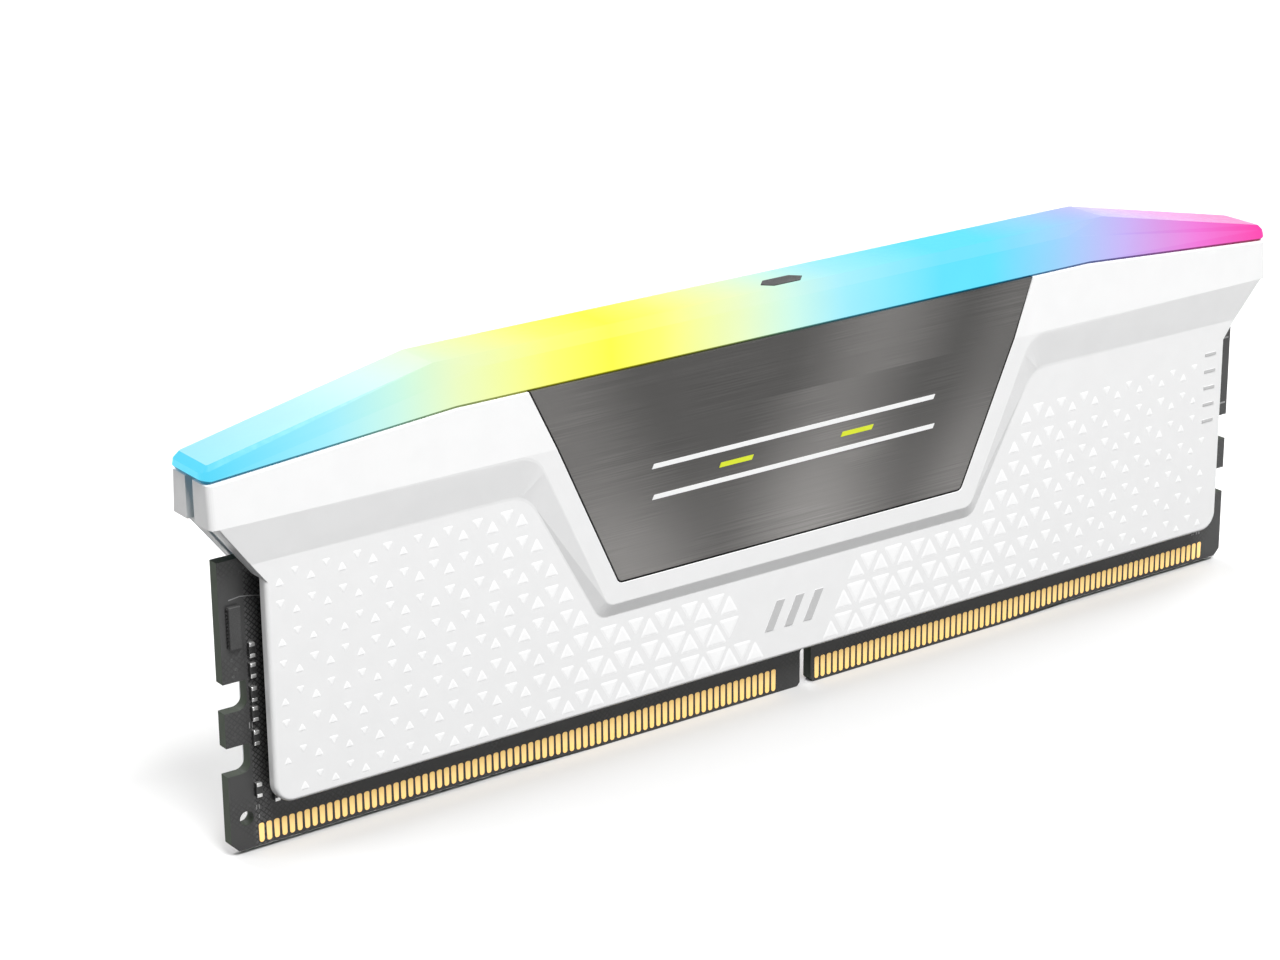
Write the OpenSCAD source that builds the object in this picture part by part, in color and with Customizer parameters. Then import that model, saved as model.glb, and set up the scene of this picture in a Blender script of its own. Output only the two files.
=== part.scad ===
// Memory module with a two-shell heat spreader and a light bar along its top.
// Millimetres. X runs along the module, Y through its thickness with the front at -Y, and Z is up.
// The origin is on the lowest part of the board's lower edge, halfway along and halfway through the module.

/* [Circuit board] */
// Length of the circuit board
board_len = 133.35; // [132.5:0.05:134]
// Height of the circuit board
board_h = 30; // [29.5:0.25:31.25]
// Thickness of the circuit board
board_t = 1.27; // [1.1:0.01:1.4]
// How far a latch notch cuts into the board's end
notch_depth = 2.5; // [1.5:0.1:2.8]
// Height of one latch notch
notch_h = 3; // [2.4:0.1:3.4]
// Lower edge of the bottom latch notch
lower_notch_z = 8; // [7.5:0.1:8.5]
// Lower edge of the top latch notch
upper_notch_z = 14.6; // [14:0.1:15.2]
// How far the middle of the lower edge stands below its ends
edge_step = 0.5; // [0:0.05:0.6]
// Centre of the key slot, along the board
key_x = 3.95; // [3.8:0.05:4]
// Width of the key slot
key_w = 1.5; // [1.2:0.1:1.6]
// Height of the key slot
key_h = 4; // [3:0.1:4.2]
// Diameter of the tooling hole
hole_d = 1.5; // [1:0.1:1.8]

/* [Edge contacts] */
// Distance from one contact to the next
contact_pitch = 0.85; // [0.8:0.01:0.85]
// Width of a contact
contact_w = 0.6; // [0.4:0.05:0.65]
// Height of a contact
contact_h = 2; // [1.6:0.1:2.6]
// Contacts on the long side of the key, on each face
long_count = 75; // [60:1:75]
// Contacts on the short side of the key, on each face
short_count = 69; // [50:1:69]

/* [Memory chips] */
// Chips on each side of the centre
chips_a_side = 4; // [2:1:4]
// Width of a memory chip
chip_w = 10; // [8:0.5:11]
// Height of a memory chip
chip_h = 11; // [8:0.5:12]
// Thickness of a memory chip
chip_t = 1; // [0.8:0.05:1.2]

/* [Heat spreader] */
// Outer face of the lower panel, from the middle of the module
panel_y = 3.3; // [3.1:0.05:3.4]
// Outer face of the raised band, from the middle of the module
band_y = 3.85; // [3.7:0.05:4]
// Outer face of the band at its top edge, from the middle of the module
top_y = 3.4; // [3.35:0.05:3.7]
// Thickness of the lower panel
panel_t = 1.1; // [0.9:0.05:1.2]
// How far the lower panel stops short of the board's ends
panel_inset = 3.65; // [3:0.05:4]
// How far the upper ends reach past the board's ends
overhang = 2; // [1.5:0.05:3]
// Lower edge of the panel
panel_z = 4.95; // [4.6:0.05:5.2]
// Radius of the panel's lower corners
corner_r = 2.1; // [1:0.1:3]
// Height where the panel's ends turn outward
knee_z = 28.2; // [27:0.1:28.5]
// Height where the ends turn upright again, and the band's lower edge
shoulder_z = 34.5; // [34:0.1:35]
// Height where the slope under the band begins
slope_z = 30.1; // [29.5:0.1:31]
// Top edge at the two ends
end_top_z = 38.8; // [38:0.1:39.2]
// Top edge along the middle
mid_top_z = 40.8; // [40.4:0.1:41]
// Half the length of the level part of the top edge
mid_top_x = 41.3; // [40:0.1:43]
// Thickness of the rims that close the upper ends
rim_t = 1.3; // [1:0.1:1.6]

/* [Dark plate] */
// Half the width of the plate at its lower edge
plate_low_x = 22.8; // [21:0.1:23]
// Half the width of the plate at its top edge
plate_top_x = 32.9; // [31:0.1:33]
// Lower edge of the plate
plate_z = 18.6; // [18:0.1:19.5]
// Thickness of the plate
plate_t = 0.5; // [0.3:0.05:0.55]

/* [Light bar] */
// Half the width of the bar's lower edge
bar_low_y = 3.3; // [3.1:0.05:3.4]
// Half the width of the bar's flat top
bar_top_y = 2.7; // [2.2:0.05:2.8]
// Top of the bar along the middle
bar_top_z = 45.7; // [45:0.1:46.5]
// Top of the bar at its two ends
bar_end_z = 40.6; // [40.3:0.1:42]
// Half the length of the level part of the bar's top
bar_flat_x = 43.5; // [42:0.1:46]

/* [Hidden] */

tiny = 0.01;
half_len = board_len / 2;
face_y = board_t / 2;
inner_y = panel_y - panel_t;
side_x = half_len - panel_inset;
end_x = half_len + overhang;

// Board details
board_corner = 0.8;
notch_fillet = 1;
// The lower edge's deep middle part: its half length from the key, and the ramp beyond it
edge_flat = 28;
edge_ramp = 10.5;
key_lead = 0.4;
hole_x = 1.81 - half_len;
hole_z = 3.22;
contact_z = 0.3;
contact_t = 0.03;
long_first_x = 3.35 - half_len;
short_first_x = 72.2 - half_len;

// Chips, coils and small parts on the board
chip_pitch = 13;
chip_first_x = 14;
chip_z = 12;
power_w = 5;
power_t = 0.8;
power_z = 14;
coil_w = 2.5;
coil_h = 2;
coil_t = 1.2;
coil_z = 21;
coil_pitch = 3.4;
coils = 3;
small_t = 0.5;
resistor_w = 0.75;
resistor_h = 1.55;
resistor_t = 0.45;
resistor_inset = 3.15;
emitters = 10;
emitter_w = 1.6;
emitter_h = 1.4;
emitter_t = 0.7;
emitter_pitch = 12;
emitter_z = board_h - emitter_h - 0.3;
emitter_first_x = -(emitters - 1) * emitter_pitch / 2;

// Spreader details
rim_y = 0.72;
tab_step = 0.8;
glue_t = 0.1;
plate_recess = 0.05;
pocket_t = plate_t + glue_t + plate_recess;
plate_gap = 0.12;
plate_glue_inset = 1;
plate_lean = (plate_top_x - plate_low_x) / (mid_top_z - plate_z);
lean = atan2(shoulder_z - knee_z, end_x - tab_step - side_x);
// Raised frame round the plate: its face, and its foot on the panel
frame_low_x = 24.2;
frame_low_z = 16.5;
frame_top_x = 32.5;
foot_low_x = 25;
foot_low_z = 14.95;
foot_top_x = 35.9;

// Light bar details
bar_gap = 0.15;
bar_end_x = half_len + 2.3;
bar_end_top_x = half_len + 1;
crease_y = 3.1;
crease_end_z = end_top_z + 1.2;
crease_mid_z = bar_top_z - 1.3;
crease_x = 38;
tongue_y = 1.6;
tongue_x = 60;
tongue_z = 37;
guide_gap = 0.1;
badge_w = 5.4;
badge_h = 2;
badge_point = 1;
badge_y = -1.1;
badge_t = 0.1;

// Printed marks
mark_t = 0.05;
stripe_x = 18.6;
stripe_h = 0.5;
stripe_low_z = 26.6;
stripe_high_z = 29.9;
dash_x = 8;
dash_w = 4.2;
slant = 0.5;
bars = 3;
bar_mark_w = 1.1;
bar_mark_pitch = 2.6;
bar_mark_z = 8.3;
bar_mark_h = 3.2;
ticks = 5;
tick_x = 60;
tick_w = 1.7;
tick_h = 0.35;
tick_z = 18.5;
tick_pitch = 2;

// Extrudes an outline drawn in X and Z, from y_low to y_high.
module slab(y_low, y_high) {
    translate([0, y_high, 0])
        rotate([90, 0, 0])
            linear_extrude(height = y_high - y_low)
                children();
}

// Extrudes a section drawn in Y and Z along the whole module.
module along() {
    rotate([90, 0, 90])
        linear_extrude(height = 2 * end_x + 2, center = true)
            children();
}

// Turns the front's parts round to the rear.
module rear() {
    rotate([0, 0, 180])
        children();
}

// A small block on the front face of the board.
module front_block(x, z, w, h, t) {
    translate([x, -face_y - t, z])
        cube([w, t, h]);
}

// An outline and its mirror image, as one list of points.
function both_sides(half) = concat(half, [for (i = [len(half) - 1 : -1 : 0]) [-half[i].x, half[i].y]]);

// Middle of a memory chip, counted outward from the centre of the board.
function chip_x(side, i) = side * (chip_first_x + i * chip_pitch);

// Height of the board's lower edge at a place along it.
function edge_z(x) = -edge_step * min(max((edge_flat + edge_ramp - abs(x - key_x)) / edge_ramp, 0), 1);

// Circuit board

module latch_notch(z) {
    translate([half_len - notch_depth, z])
        difference() {
            square([notch_depth + 1, notch_h]);
            difference() {
                square(notch_fillet);
                translate([notch_fillet, notch_fillet])
                    circle(r = notch_fillet, $fn = 32);
            }
        }
}

module board_outline() {
    lead_x = key_w / 2 + key_lead + 1;
    difference() {
        polygon(concat(
            both_sides([[half_len - board_corner, 0], [half_len, board_corner], [half_len, board_h]]),
            [
                [key_x - edge_flat - edge_ramp, 0], [key_x - edge_flat, -edge_step],
                [key_x + edge_flat, -edge_step], [key_x + edge_flat + edge_ramp, 0]
            ]
        ));
        for (side = [0, 1])
            mirror([side, 0])
                for (z = [lower_notch_z, upper_notch_z])
                    latch_notch(z);
        translate([key_x - key_w / 2, -1])
            square([key_w, key_h - key_w / 2 + 1]);
        translate([key_x, key_h - key_w / 2])
            circle(d = key_w, $fn = 32);
        translate([key_x, -edge_step])
            polygon([[-lead_x, -1], [lead_x, -1], [key_w / 2, key_lead], [-key_w / 2, key_lead]]);
        translate([hole_x, hole_z])
            circle(d = hole_d, $fn = 48);
    }
}

module circuit_board() {
    color("#2b2d2b")
        slab(-face_y, face_y)
            board_outline();
}

// One face's contacts stand in two groups, either side of the key. Their lower ends follow the board's edge.
module contact_group(count, first_x) {
    for (i = [0 : count - 1]) {
        x = first_x + i * contact_pitch;
        drop = edge_z(x);
        translate([x - contact_w / 2, -face_y - contact_t, contact_z + drop])
            cube([contact_w, contact_t, contact_h - drop]);
    }
}

module front_contacts() {
    color("#e8bf6a") {
        contact_group(long_count, long_first_x);
        contact_group(short_count, short_first_x);
    }
}

module rear_contacts() {
    mirror([0, 1, 0])
        front_contacts();
}

// Chips and small parts

module memory_chips() {
    color("#1d1d1f")
        for (side = [-1, 1])
            for (i = [0 : chips_a_side - 1])
                front_block(chip_x(side, i) - chip_w / 2, chip_z, chip_w, chip_h, chip_t);
}

module power_chip() {
    color("#222224")
        front_block(-power_w / 2, power_z, power_w, power_w, power_t);
}

module power_inductors() {
    color("#5b5d60")
        for (i = [0 : coils - 1])
            front_block((i - (coils - 1) / 2) * coil_pitch - coil_w / 2, coil_z, coil_w, coil_h, coil_t);
}

module hub_chip() {
    color("#222224")
        front_block(-1.5, 24.4, 3, 2, small_t);
}

// The narrow chip at the left end, in the strip of board that the spreader leaves bare.
module side_chip() {
    color("#2a2a2c")
        front_block(0.7 - half_len, 21.1, 1.5, 4.3, small_t);
}

module light_controller() {
    color("#222224")
        rear()
            front_block(-2, 25.4, 4, 4, power_t);
}

module light_emitters() {
    color("#f2f2ee")
        for (i = [0 : emitters - 1])
            front_block(
                emitter_first_x + i * emitter_pitch - emitter_w / 2, emitter_z,
                emitter_w, emitter_h, emitter_t
            );
}

// A row of decoupling capacitors above and below each memory chip.
module capacitors() {
    color("#b9a98a")
        for (side = [-1, 1])
            for (i = [0 : chips_a_side - 1])
                for (k = [-1, 1])
                    for (z = [10.4, 24.2])
                        front_block(chip_x(side, i) + k * 3 - 0.5, z, 1, 0.5, small_t);
}

// A column of resistors beside each end of the spreader, each standing upright.
module edge_resistors() {
    color("#3a3a3c")
        for (side = [-1, 1])
            for (z = [6, 11.5, 14, 16.05, 18.5, 20.6])
                front_block(
                    side * (half_len - resistor_inset) - resistor_w / 2, z - resistor_h / 2,
                    resistor_w, resistor_h, resistor_t
                );
}

// Pads that carry heat to the spreader

module memory_pads() {
    pad_len = (chips_a_side - 1) * chip_pitch + chip_w;
    near_x = chip_first_x - chip_w / 2;
    color("#9aa3ad")
        for (x = [near_x, -near_x - pad_len])
            translate([x, -inner_y, chip_z])
                cube([pad_len, inner_y - face_y - chip_t, chip_h]);
}

module power_pad() {
    color("#9aa3ad")
        translate([-power_w / 2, -inner_y, power_z])
            cube([power_w, inner_y - face_y - power_t, power_w]);
}

module rear_pad() {
    color("#8d949c")
        translate([-side_x + 4, face_y, 9])
            cube([2 * side_x - 8, inner_y - face_y, 14]);
}

// Heat spreader

module spreader_outline() {
    arc_x = side_x - corner_r;
    arc_z = panel_z + corner_r;
    polygon(both_sides(concat(
        [for (a = [-90 : 15 : 0]) [arc_x + corner_r * cos(a), arc_z + corner_r * sin(a)]],
        [
            [side_x, knee_z], [end_x - tab_step, shoulder_z], [end_x, shoulder_z],
            [end_x, end_top_z], [mid_top_x, mid_top_z]
        ]
    )));
}

module spreader_section() {
    polygon([
        [-panel_y, panel_z - 1], [-panel_y, slope_z], [-band_y, shoulder_z], [-top_y, mid_top_z],
        [-top_y, mid_top_z + 1], [-inner_y, mid_top_z + 1], [-inner_y, panel_z - 1]
    ]);
}

// The corners of one outline of the raised frame, in X and Z.
function frame_corners(low_x, low_z, top_x) = [
    [-low_x, low_z], [low_x, low_z], [top_x, shoulder_z], [-top_x, shoulder_z]
];

// The raised frame round the plate, whose sides slope down to the panel.
module raised_frame() {
    foot = frame_corners(foot_low_x, foot_low_z, foot_top_x);
    face = frame_corners(frame_low_x, frame_low_z, frame_top_x);
    back = [for (p = foot) [p.x, -inner_y - 0.2, p.y]];
    middle = [for (p = foot) [p.x, -panel_y, p.y]];
    front = [for (p = face) [p.x, -band_y, p.y]];
    walls = [for (layer = [0, 4]) for (i = [0 : 3]) let (j = (i + 1) % 4)
        each [[layer + i, layer + 4 + i, layer + j], [layer + j, layer + 4 + i, layer + 4 + j]]];
    polyhedron(
        points = concat(back, middle, front),
        faces = concat([[0, 1, 2, 3]], [[11, 10, 9, 8]], walls)
    );
}

// The rim that turns inward along an upper end and closes it almost to the middle of the module.
module end_rim() {
    slab(-inner_y - tiny, -rim_y)
        polygon([
            [side_x, knee_z], [end_x - tab_step, shoulder_z], [end_x, shoulder_z],
            [end_x, end_top_z], [end_x - rim_t, end_top_z],
            [end_x - rim_t, shoulder_z + tab_step * tan(lean) + rim_t * (1 - sin(lean)) / cos(lean)],
            [side_x - rim_t * sin(lean), knee_z + rim_t * cos(lean)]
        ]);
}

// The plate's outline, smaller all round by inset.
module plate_outline(inset) {
    low_x = plate_low_x - inset;
    top_x = plate_low_x + plate_lean * (mid_top_z - plate_z) - inset;
    polygon([[-low_x, plate_z + inset], [low_x, plate_z + inset], [top_x, mid_top_z], [-top_x, mid_top_z]]);
}

// The section between two depths under the outer face of the band and frame.
module skin_section(outer, inner) {
    polygon([
        [-band_y + outer, plate_z - 2], [-band_y + outer, shoulder_z], [-top_y + outer, mid_top_z],
        [-top_y + inner, mid_top_z], [-band_y + inner, shoulder_z], [-band_y + inner, plate_z - 2]
    ]);
}

module plate_layer(inset, outer, inner) {
    intersection() {
        slab(-band_y - 1, 0)
            plate_outline(inset);
        along()
            skin_section(outer, inner);
    }
}

module front_spreader() {
    color("#f1f1f1")
        difference() {
            union() {
                intersection() {
                    slab(-band_y - 1, 0)
                        spreader_outline();
                    along()
                        spreader_section();
                }
                raised_frame();
                for (side = [0, 1])
                    mirror([side, 0, 0])
                        end_rim();
            }
            plate_layer(0, -1, pocket_t);
        }
}

module rear_spreader() {
    rear()
        front_spreader();
}

// Dark plate

module front_plate() {
    color("#6f6e6d")
        plate_layer(plate_gap, plate_recess, plate_recess + plate_t);
}

module rear_plate() {
    rear()
        front_plate();
}

module front_plate_glue() {
    color("#c9c9c4")
        plate_layer(plate_glue_inset, pocket_t - glue_t, pocket_t);
}

module rear_plate_glue() {
    rear()
        front_plate_glue();
}

// Printed marks

module slanted_bar(x, z, w, h) {
    polygon([[x, z], [x + w, z], [x + w + slant * h, z + h], [x + slant * h, z + h]]);
}

// Two long stripes across the plate.
module front_stripes() {
    color("#f4f4f4")
        slab(-band_y + plate_recess - mark_t, -band_y + plate_recess)
            for (z = [stripe_low_z, stripe_high_z])
                slanted_bar(-stripe_x, z, 2 * stripe_x, stripe_h);
}

module rear_stripes() {
    rear()
        front_stripes();
}

// Short dashes between the stripes.
module front_dashes() {
    color("#d7df23")
        slab(-band_y + plate_recess - mark_t, -band_y + plate_recess)
            for (x = [-dash_x, dash_x])
                slanted_bar(x - dash_w / 2, (stripe_low_z + stripe_high_z) / 2, dash_w, stripe_h);
}

module rear_dashes() {
    rear()
        front_dashes();
}

// Plain bars low on the panel, and a column of ticks near its end.
module front_print() {
    color("#b5b5b5")
        slab(-panel_y - mark_t, -panel_y) {
            for (i = [0 : bars - 1])
                slanted_bar(
                    (i - (bars - 1) / 2) * bar_mark_pitch - bar_mark_w, bar_mark_z,
                    bar_mark_w, bar_mark_h
                );
            for (i = [0 : ticks - 1])
                translate([tick_x, tick_z + i * tick_pitch])
                    square([tick_w, tick_h]);
        }
}

module rear_print() {
    rear()
        front_print();
}

// Light bar

// The clear strip that carries light from the emitters up to the bar.
module light_guide() {
    color("#dfeff5")
        translate([-tongue_x, -tongue_y, board_h + guide_gap])
            cube([2 * tongue_x, 2 * tongue_y, tongue_z - board_h - 2 * guide_gap]);
}

// One ring of the bar's outline, at its end or at the corner of its level part.
function bar_ring(side, low, crease, top) = [
    [side * low.x, bar_low_y, low.y], [side * crease.x, crease_y, crease.y],
    [side * top.x, bar_top_y, top.y], [side * top.x, -bar_top_y, top.y],
    [side * crease.x, -crease_y, crease.y], [side * low.x, -bar_low_y, low.y]
];

module bar_body() {
    end_ring = [
        [bar_end_x, end_top_z + bar_gap], [bar_end_x - 0.05, crease_end_z], [bar_end_top_x, bar_end_z]
    ];
    mid_ring = [[mid_top_x, mid_top_z + bar_gap], [crease_x, crease_mid_z], [bar_flat_x, bar_top_z]];
    rings = [for (s = [[-1, end_ring], [-1, mid_ring], [1, mid_ring], [1, end_ring]])
        each bar_ring(s[0], s[1][0], s[1][1], s[1][2])];
    sides = [for (r = [0 : 2]) for (i = [0 : 5]) let (j = (i + 1) % 6)
        each [[6 * r + i, 6 * r + 6 + i, 6 * r + j], [6 * r + j, 6 * r + 6 + i, 6 * r + 6 + j]]];
    caps = [[0, 1, 4, 5], [1, 2, 3, 4], [23, 22, 19, 18], [22, 21, 20, 19]];
    polyhedron(points = rings, faces = concat(caps, sides));
}

module light_bar() {
    color("#c8f3ff")
        union() {
            bar_body();
            translate([-tongue_x, -tongue_y, tongue_z])
                cube([2 * tongue_x, 2 * tongue_y, mid_top_z + 1 - tongue_z]);
        }
}

// A plain dark lozenge near the front of the bar's flat top.
module bar_badge() {
    point_x = badge_w / 2;
    flat_x = badge_w / 2 - badge_point;
    flat_y = badge_h / 2;
    color("#3c3c3e")
        translate([0, badge_y, bar_top_z])
            linear_extrude(height = badge_t)
                polygon([
                    [-point_x, 0], [-flat_x, -flat_y], [flat_x, -flat_y],
                    [point_x, 0], [flat_x, flat_y], [-flat_x, flat_y]
                ]);
}

// Heights above are measured from the ends of the lower edge. The module stands on the edge's middle.
translate([0, 0, edge_step]) {
    circuit_board();
    front_contacts();
    rear_contacts();
    memory_chips();
    power_chip();
    power_inductors();
    hub_chip();
    side_chip();
    light_controller();
    light_emitters();
    capacitors();
    edge_resistors();
    memory_pads();
    power_pad();
    rear_pad();
    front_spreader();
    rear_spreader();
    front_plate_glue();
    rear_plate_glue();
    front_plate();
    rear_plate();
    front_stripes();
    rear_stripes();
    front_dashes();
    rear_dashes();
    front_print();
    rear_print();
    light_guide();
    light_bar();
    bar_badge();
}
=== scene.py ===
"""Looks of a memory module with a two-shell heat spreader and a light bar along its top.

Shapes are drawn in millimetres, with the front at -Y, and stored in metres.
A shape's depth is its distance in front of the module's middle plane, so a front piece has y = -depth.
A rear piece is the front one turned half round about Z.
"""
import math
import random

import bmesh
import bpy
from mathutils import Matrix, Vector, geometry


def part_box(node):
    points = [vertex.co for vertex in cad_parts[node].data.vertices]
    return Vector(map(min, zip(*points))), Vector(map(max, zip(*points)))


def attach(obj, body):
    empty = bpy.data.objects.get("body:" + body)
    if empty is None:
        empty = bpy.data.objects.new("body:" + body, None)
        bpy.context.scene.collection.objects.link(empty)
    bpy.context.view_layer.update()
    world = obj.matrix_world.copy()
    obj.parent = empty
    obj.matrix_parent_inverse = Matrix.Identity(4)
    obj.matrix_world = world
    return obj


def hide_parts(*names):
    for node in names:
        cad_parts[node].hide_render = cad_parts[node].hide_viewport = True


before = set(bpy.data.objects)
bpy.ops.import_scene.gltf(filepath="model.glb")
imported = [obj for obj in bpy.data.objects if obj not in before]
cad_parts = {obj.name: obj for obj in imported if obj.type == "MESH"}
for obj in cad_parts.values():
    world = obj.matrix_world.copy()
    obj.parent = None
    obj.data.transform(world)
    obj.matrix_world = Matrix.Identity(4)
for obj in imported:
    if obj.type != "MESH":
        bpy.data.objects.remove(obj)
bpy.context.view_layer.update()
MM = 0.001


def box_mm(node):
    """A CAD node's lowest and highest corners, in millimetres."""
    low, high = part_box(node)
    return low / MM, high / MM


SPREADER_LOW, SPREADER_HIGH = box_mm("front_spreader")
PLATE_LOW, PLATE_HIGH = box_mm("front_plate")
BAR_LOW, BAR_HIGH = box_mm("light_bar")
BOARD_LOW, BOARD_HIGH = box_mm("circuit_board")

BOARD_H = 30
# Height of the ends of the board's lower edge, which its middle stands below
ENDS_Z = BOARD_HIGH.z - BOARD_H
# Heat spreader: heights and half widths of its outline
END_X = SPREADER_HIGH.x
SIDE_X = END_X - 5.65
PANEL_Z = SPREADER_LOW.z
TOP_Z = SPREADER_HIGH.z
KNEE_Z = PANEL_Z + 23.25
SHOULDER_Z = TOP_Z - 6.3
END_TOP_Z = TOP_Z - 2
TOP_FLAT_X = 41.3
TAB_STEP = 0.8
CORNER_R = 2.1
# Heat spreader: depths of its faces
BAND_DEPTH = -SPREADER_LOW.y
PANEL_DEPTH = BAND_DEPTH - 0.55
TOP_DEPTH = BAND_DEPTH - 0.45
INNER_DEPTH = PANEL_DEPTH - 1.1
RIM_DEPTH = -SPREADER_HIGH.y
RIM_T = 1.3
SLOPE_Z = SHOULDER_Z - 4.4
# Raised frame round the plate: half widths and heights of its face's and its foot's corners
FACE_CORNERS = ((24.2, PANEL_Z + 11.55, 1.3), (32.5, SHOULDER_Z, 3.2))
FOOT_CORNERS = ((25.0, PANEL_Z + 10.0, 1.7), (33.45, SLOPE_Z, 3.6))
# Plate and its pocket. The plate's half width grows by its lean over a millimetre of height
PLATE_LEAN = 0.455
PLATE_GAP = 0.17
PLATE_Z = PLATE_LOW.z
PLATE_LOW_X = PLATE_HIGH.x - PLATE_LEAN * (TOP_Z - PLATE_Z)
PLATE_CORNER_R = 0.8
PLATE_RECESS = 0.05
PLATE_ROUND = 0.07
PLATE_T = 0.5
POCKET_T = 0.65
# Light bar
BAR_LIP = 0.14
BAR_END_LIP = 0.4
BAR_GAP = 0.15
# Triangles raised on the panel
CELL_W = 3.425
CELL_H = 3.06
CELL_RISE = 0.025
CELL_TOP_SHARE = 0.66
CELL_ROWS = 8
CELL_COLUMNS = range(-42, 43)
CELL_FIRST_X = -5.0
CELL_LOW_Z = PANEL_Z + 0.23
# What the pattern keeps clear of: the panel's edges, the frame, and the bars and ticks printed on the panel
SIDE_MARGIN = 0.9
LOW_MARGIN = 0.4
CORNER_MARGIN = 1.2
FRAME_SIDE_MARGIN = 0.9
FRAME_LOW_MARGIN = 0.7
BARS_HALF_W = 3.9
BARS_LOW_Z = PANEL_Z + 1
BARS_LEAN = 0.57
TICKS_X = 59.2
TICKS_Z = PANEL_Z + 12.6
RIGHT_TOP_Z = PANEL_Z + 21.9


# Shape building


def placed(name, data):
    """A new object, linked into the scene."""
    thing = bpy.data.objects.new(name, data)
    bpy.context.scene.collection.objects.link(thing)
    return thing


class Shape:
    """Collects faces given by their corner points in millimetres, and joins equal points."""

    def __init__(self):
        self.points = []
        self.index = {}
        self.faces = []
        self.slots = []

    def corner(self, point):
        key = tuple(round(value, 4) for value in point)
        if key not in self.index:
            self.index[key] = len(self.points)
            self.points.append(point)
        return self.index[key]

    def face(self, points, slot=0):
        """Adds a face, unless fewer than three of its corners are different points."""
        corners = list(dict.fromkeys(self.corner(point) for point in points))
        if len(corners) > 2:
            self.faces.append(corners)
            self.slots.append(slot)

    def strip(self, loop_a, loop_b, slot=0, closed=True):
        """Quads between two loops of as many points."""
        count = len(loop_a)
        for i in range(count if closed else count - 1):
            j = (i + 1) % count
            self.face([loop_a[i], loop_a[j], loop_b[j], loop_b[i]], slot)

    def stack(self, loops, slot=0):
        """A closed solid through a stack of loops, with a flat cap on the first and the last."""
        for loop_a, loop_b in zip(loops, loops[1:]):
            self.strip(loop_a, loop_b, slot)
        self.face(list(reversed(loops[0])), slot)
        self.face(loops[-1], slot)

    def build(self, name, materials, node=None, turned=False):
        """Makes the piece with its faces outward, turned half round about Z for the rear, ties it to the
        module and to its finish, and hides the CAD node that it stands for."""
        mesh = bpy.data.meshes.new(name)
        side = -1 if turned else 1
        mesh.from_pydata([(side * x * MM, side * y * MM, z * MM) for x, y, z in self.points], [], self.faces)
        for material in materials:
            mesh.materials.append(material)
        mesh.polygons.foreach_set("material_index", self.slots)
        work = bmesh.new()
        work.from_mesh(mesh)
        bmesh.ops.recalc_face_normals(work, faces=work.faces)
        work.to_mesh(mesh)
        work.free()
        piece = placed(name, mesh)
        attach(piece, "root")
        if node:
            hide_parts(node)


def arc(before, corner, after, radius, count):
    """Points of the arc that rounds a corner of an outline drawn in X and Z."""
    corner, before, after = Vector(corner), Vector(before), Vector(after)
    to_before = (before - corner).normalized()
    to_after = (after - corner).normalized()
    half = to_before.angle(to_after) / 2
    centre = corner + (to_before + to_after).normalized() * radius / math.sin(half)
    start = corner + to_before * radius / math.tan(half) - centre
    turn = start.angle_signed(corner + to_after * radius / math.tan(half) - centre)
    return [tuple(centre + Matrix.Rotation(-turn * i / count, 2) @ start) for i in range(count + 1)]


def inset_loop(loop, widths):
    """The outline moved inward, each edge by its own width. The outline runs anticlockwise."""
    moved = []
    for i, point in enumerate(loop):
        corner = Vector(point)
        edges = (corner - Vector(loop[i - 1]), Vector(loop[(i + 1) % len(loop)]) - corner)
        normal_a, normal_b = [Vector((-edge.y, edge.x)).normalized() for edge in edges]
        width_a, width_b = widths[i - 1], widths[i]
        cross = normal_a.x * normal_b.y - normal_a.y * normal_b.x
        if abs(cross) < 0.02:
            shift = (normal_a + normal_b).normalized() * (width_a + width_b) / 2
        else:
            shift = Vector((
                (width_a * normal_b.y - width_b * normal_a.y) / cross,
                (width_b * normal_a.x - width_a * normal_b.x) / cross,
            ))
        moved.append((point[0] + shift.x, point[1] + shift.y))
    return moved


def islands(node):
    """The box of each separate solid in a CAD node, as (lowest corner, highest corner) in millimetres."""
    work = bmesh.new()
    work.from_mesh(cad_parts[node].data)
    bmesh.ops.remove_doubles(work, verts=work.verts, dist=1e-7)
    left = set(work.verts)
    boxes = []
    while left:
        group = {left.pop()}
        waiting = list(group)
        while waiting:
            vert = waiting.pop()
            for edge in vert.link_edges:
                other = edge.other_vert(vert)
                if other in left:
                    left.discard(other)
                    group.add(other)
                    waiting.append(other)
        axes = list(zip(*[vert.co for vert in group]))
        boxes.append([Vector([pick(axis) for axis in axes]) / MM for pick in (min, max)])
    work.free()
    return sorted(boxes, key=lambda box: (round(box[0].z, 3), round(box[0].x, 3)))


def rounded(corners, radius, count):
    """An outline in X and Z with each corner rounded."""
    loop = []
    for i, corner in enumerate(corners):
        loop += arc(corners[i - 1], corner, corners[(i + 1) % len(corners)], radius, count)
    return loop


def rounded_rectangle(low, high, radius, count=3):
    """An anticlockwise rounded rectangle in X and Z, between a box's lowest and highest corners."""
    return rounded([(low.x, low.z), (high.x, low.z), (high.x, high.z), (low.x, high.z)], radius, count)


def circle(x, z, radius, count=16):
    """Points round a circle in X and Z."""
    turns = [2 * math.pi * i / count for i in range(count)]
    return [(x + radius * math.cos(turn), z + radius * math.sin(turn)) for turn in turns]


def at(loop, depth):
    """An outline in X and Z placed at a depth."""
    return [(x, -depth, z) for x, z in loop]


def back_and_front(low, high, facing):
    """The depths of a part's inner and outer face. Facing is 1 on the board's front and -1 on its rear."""
    return (-high.y, -low.y) if facing > 0 else (-low.y, -high.y)


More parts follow.
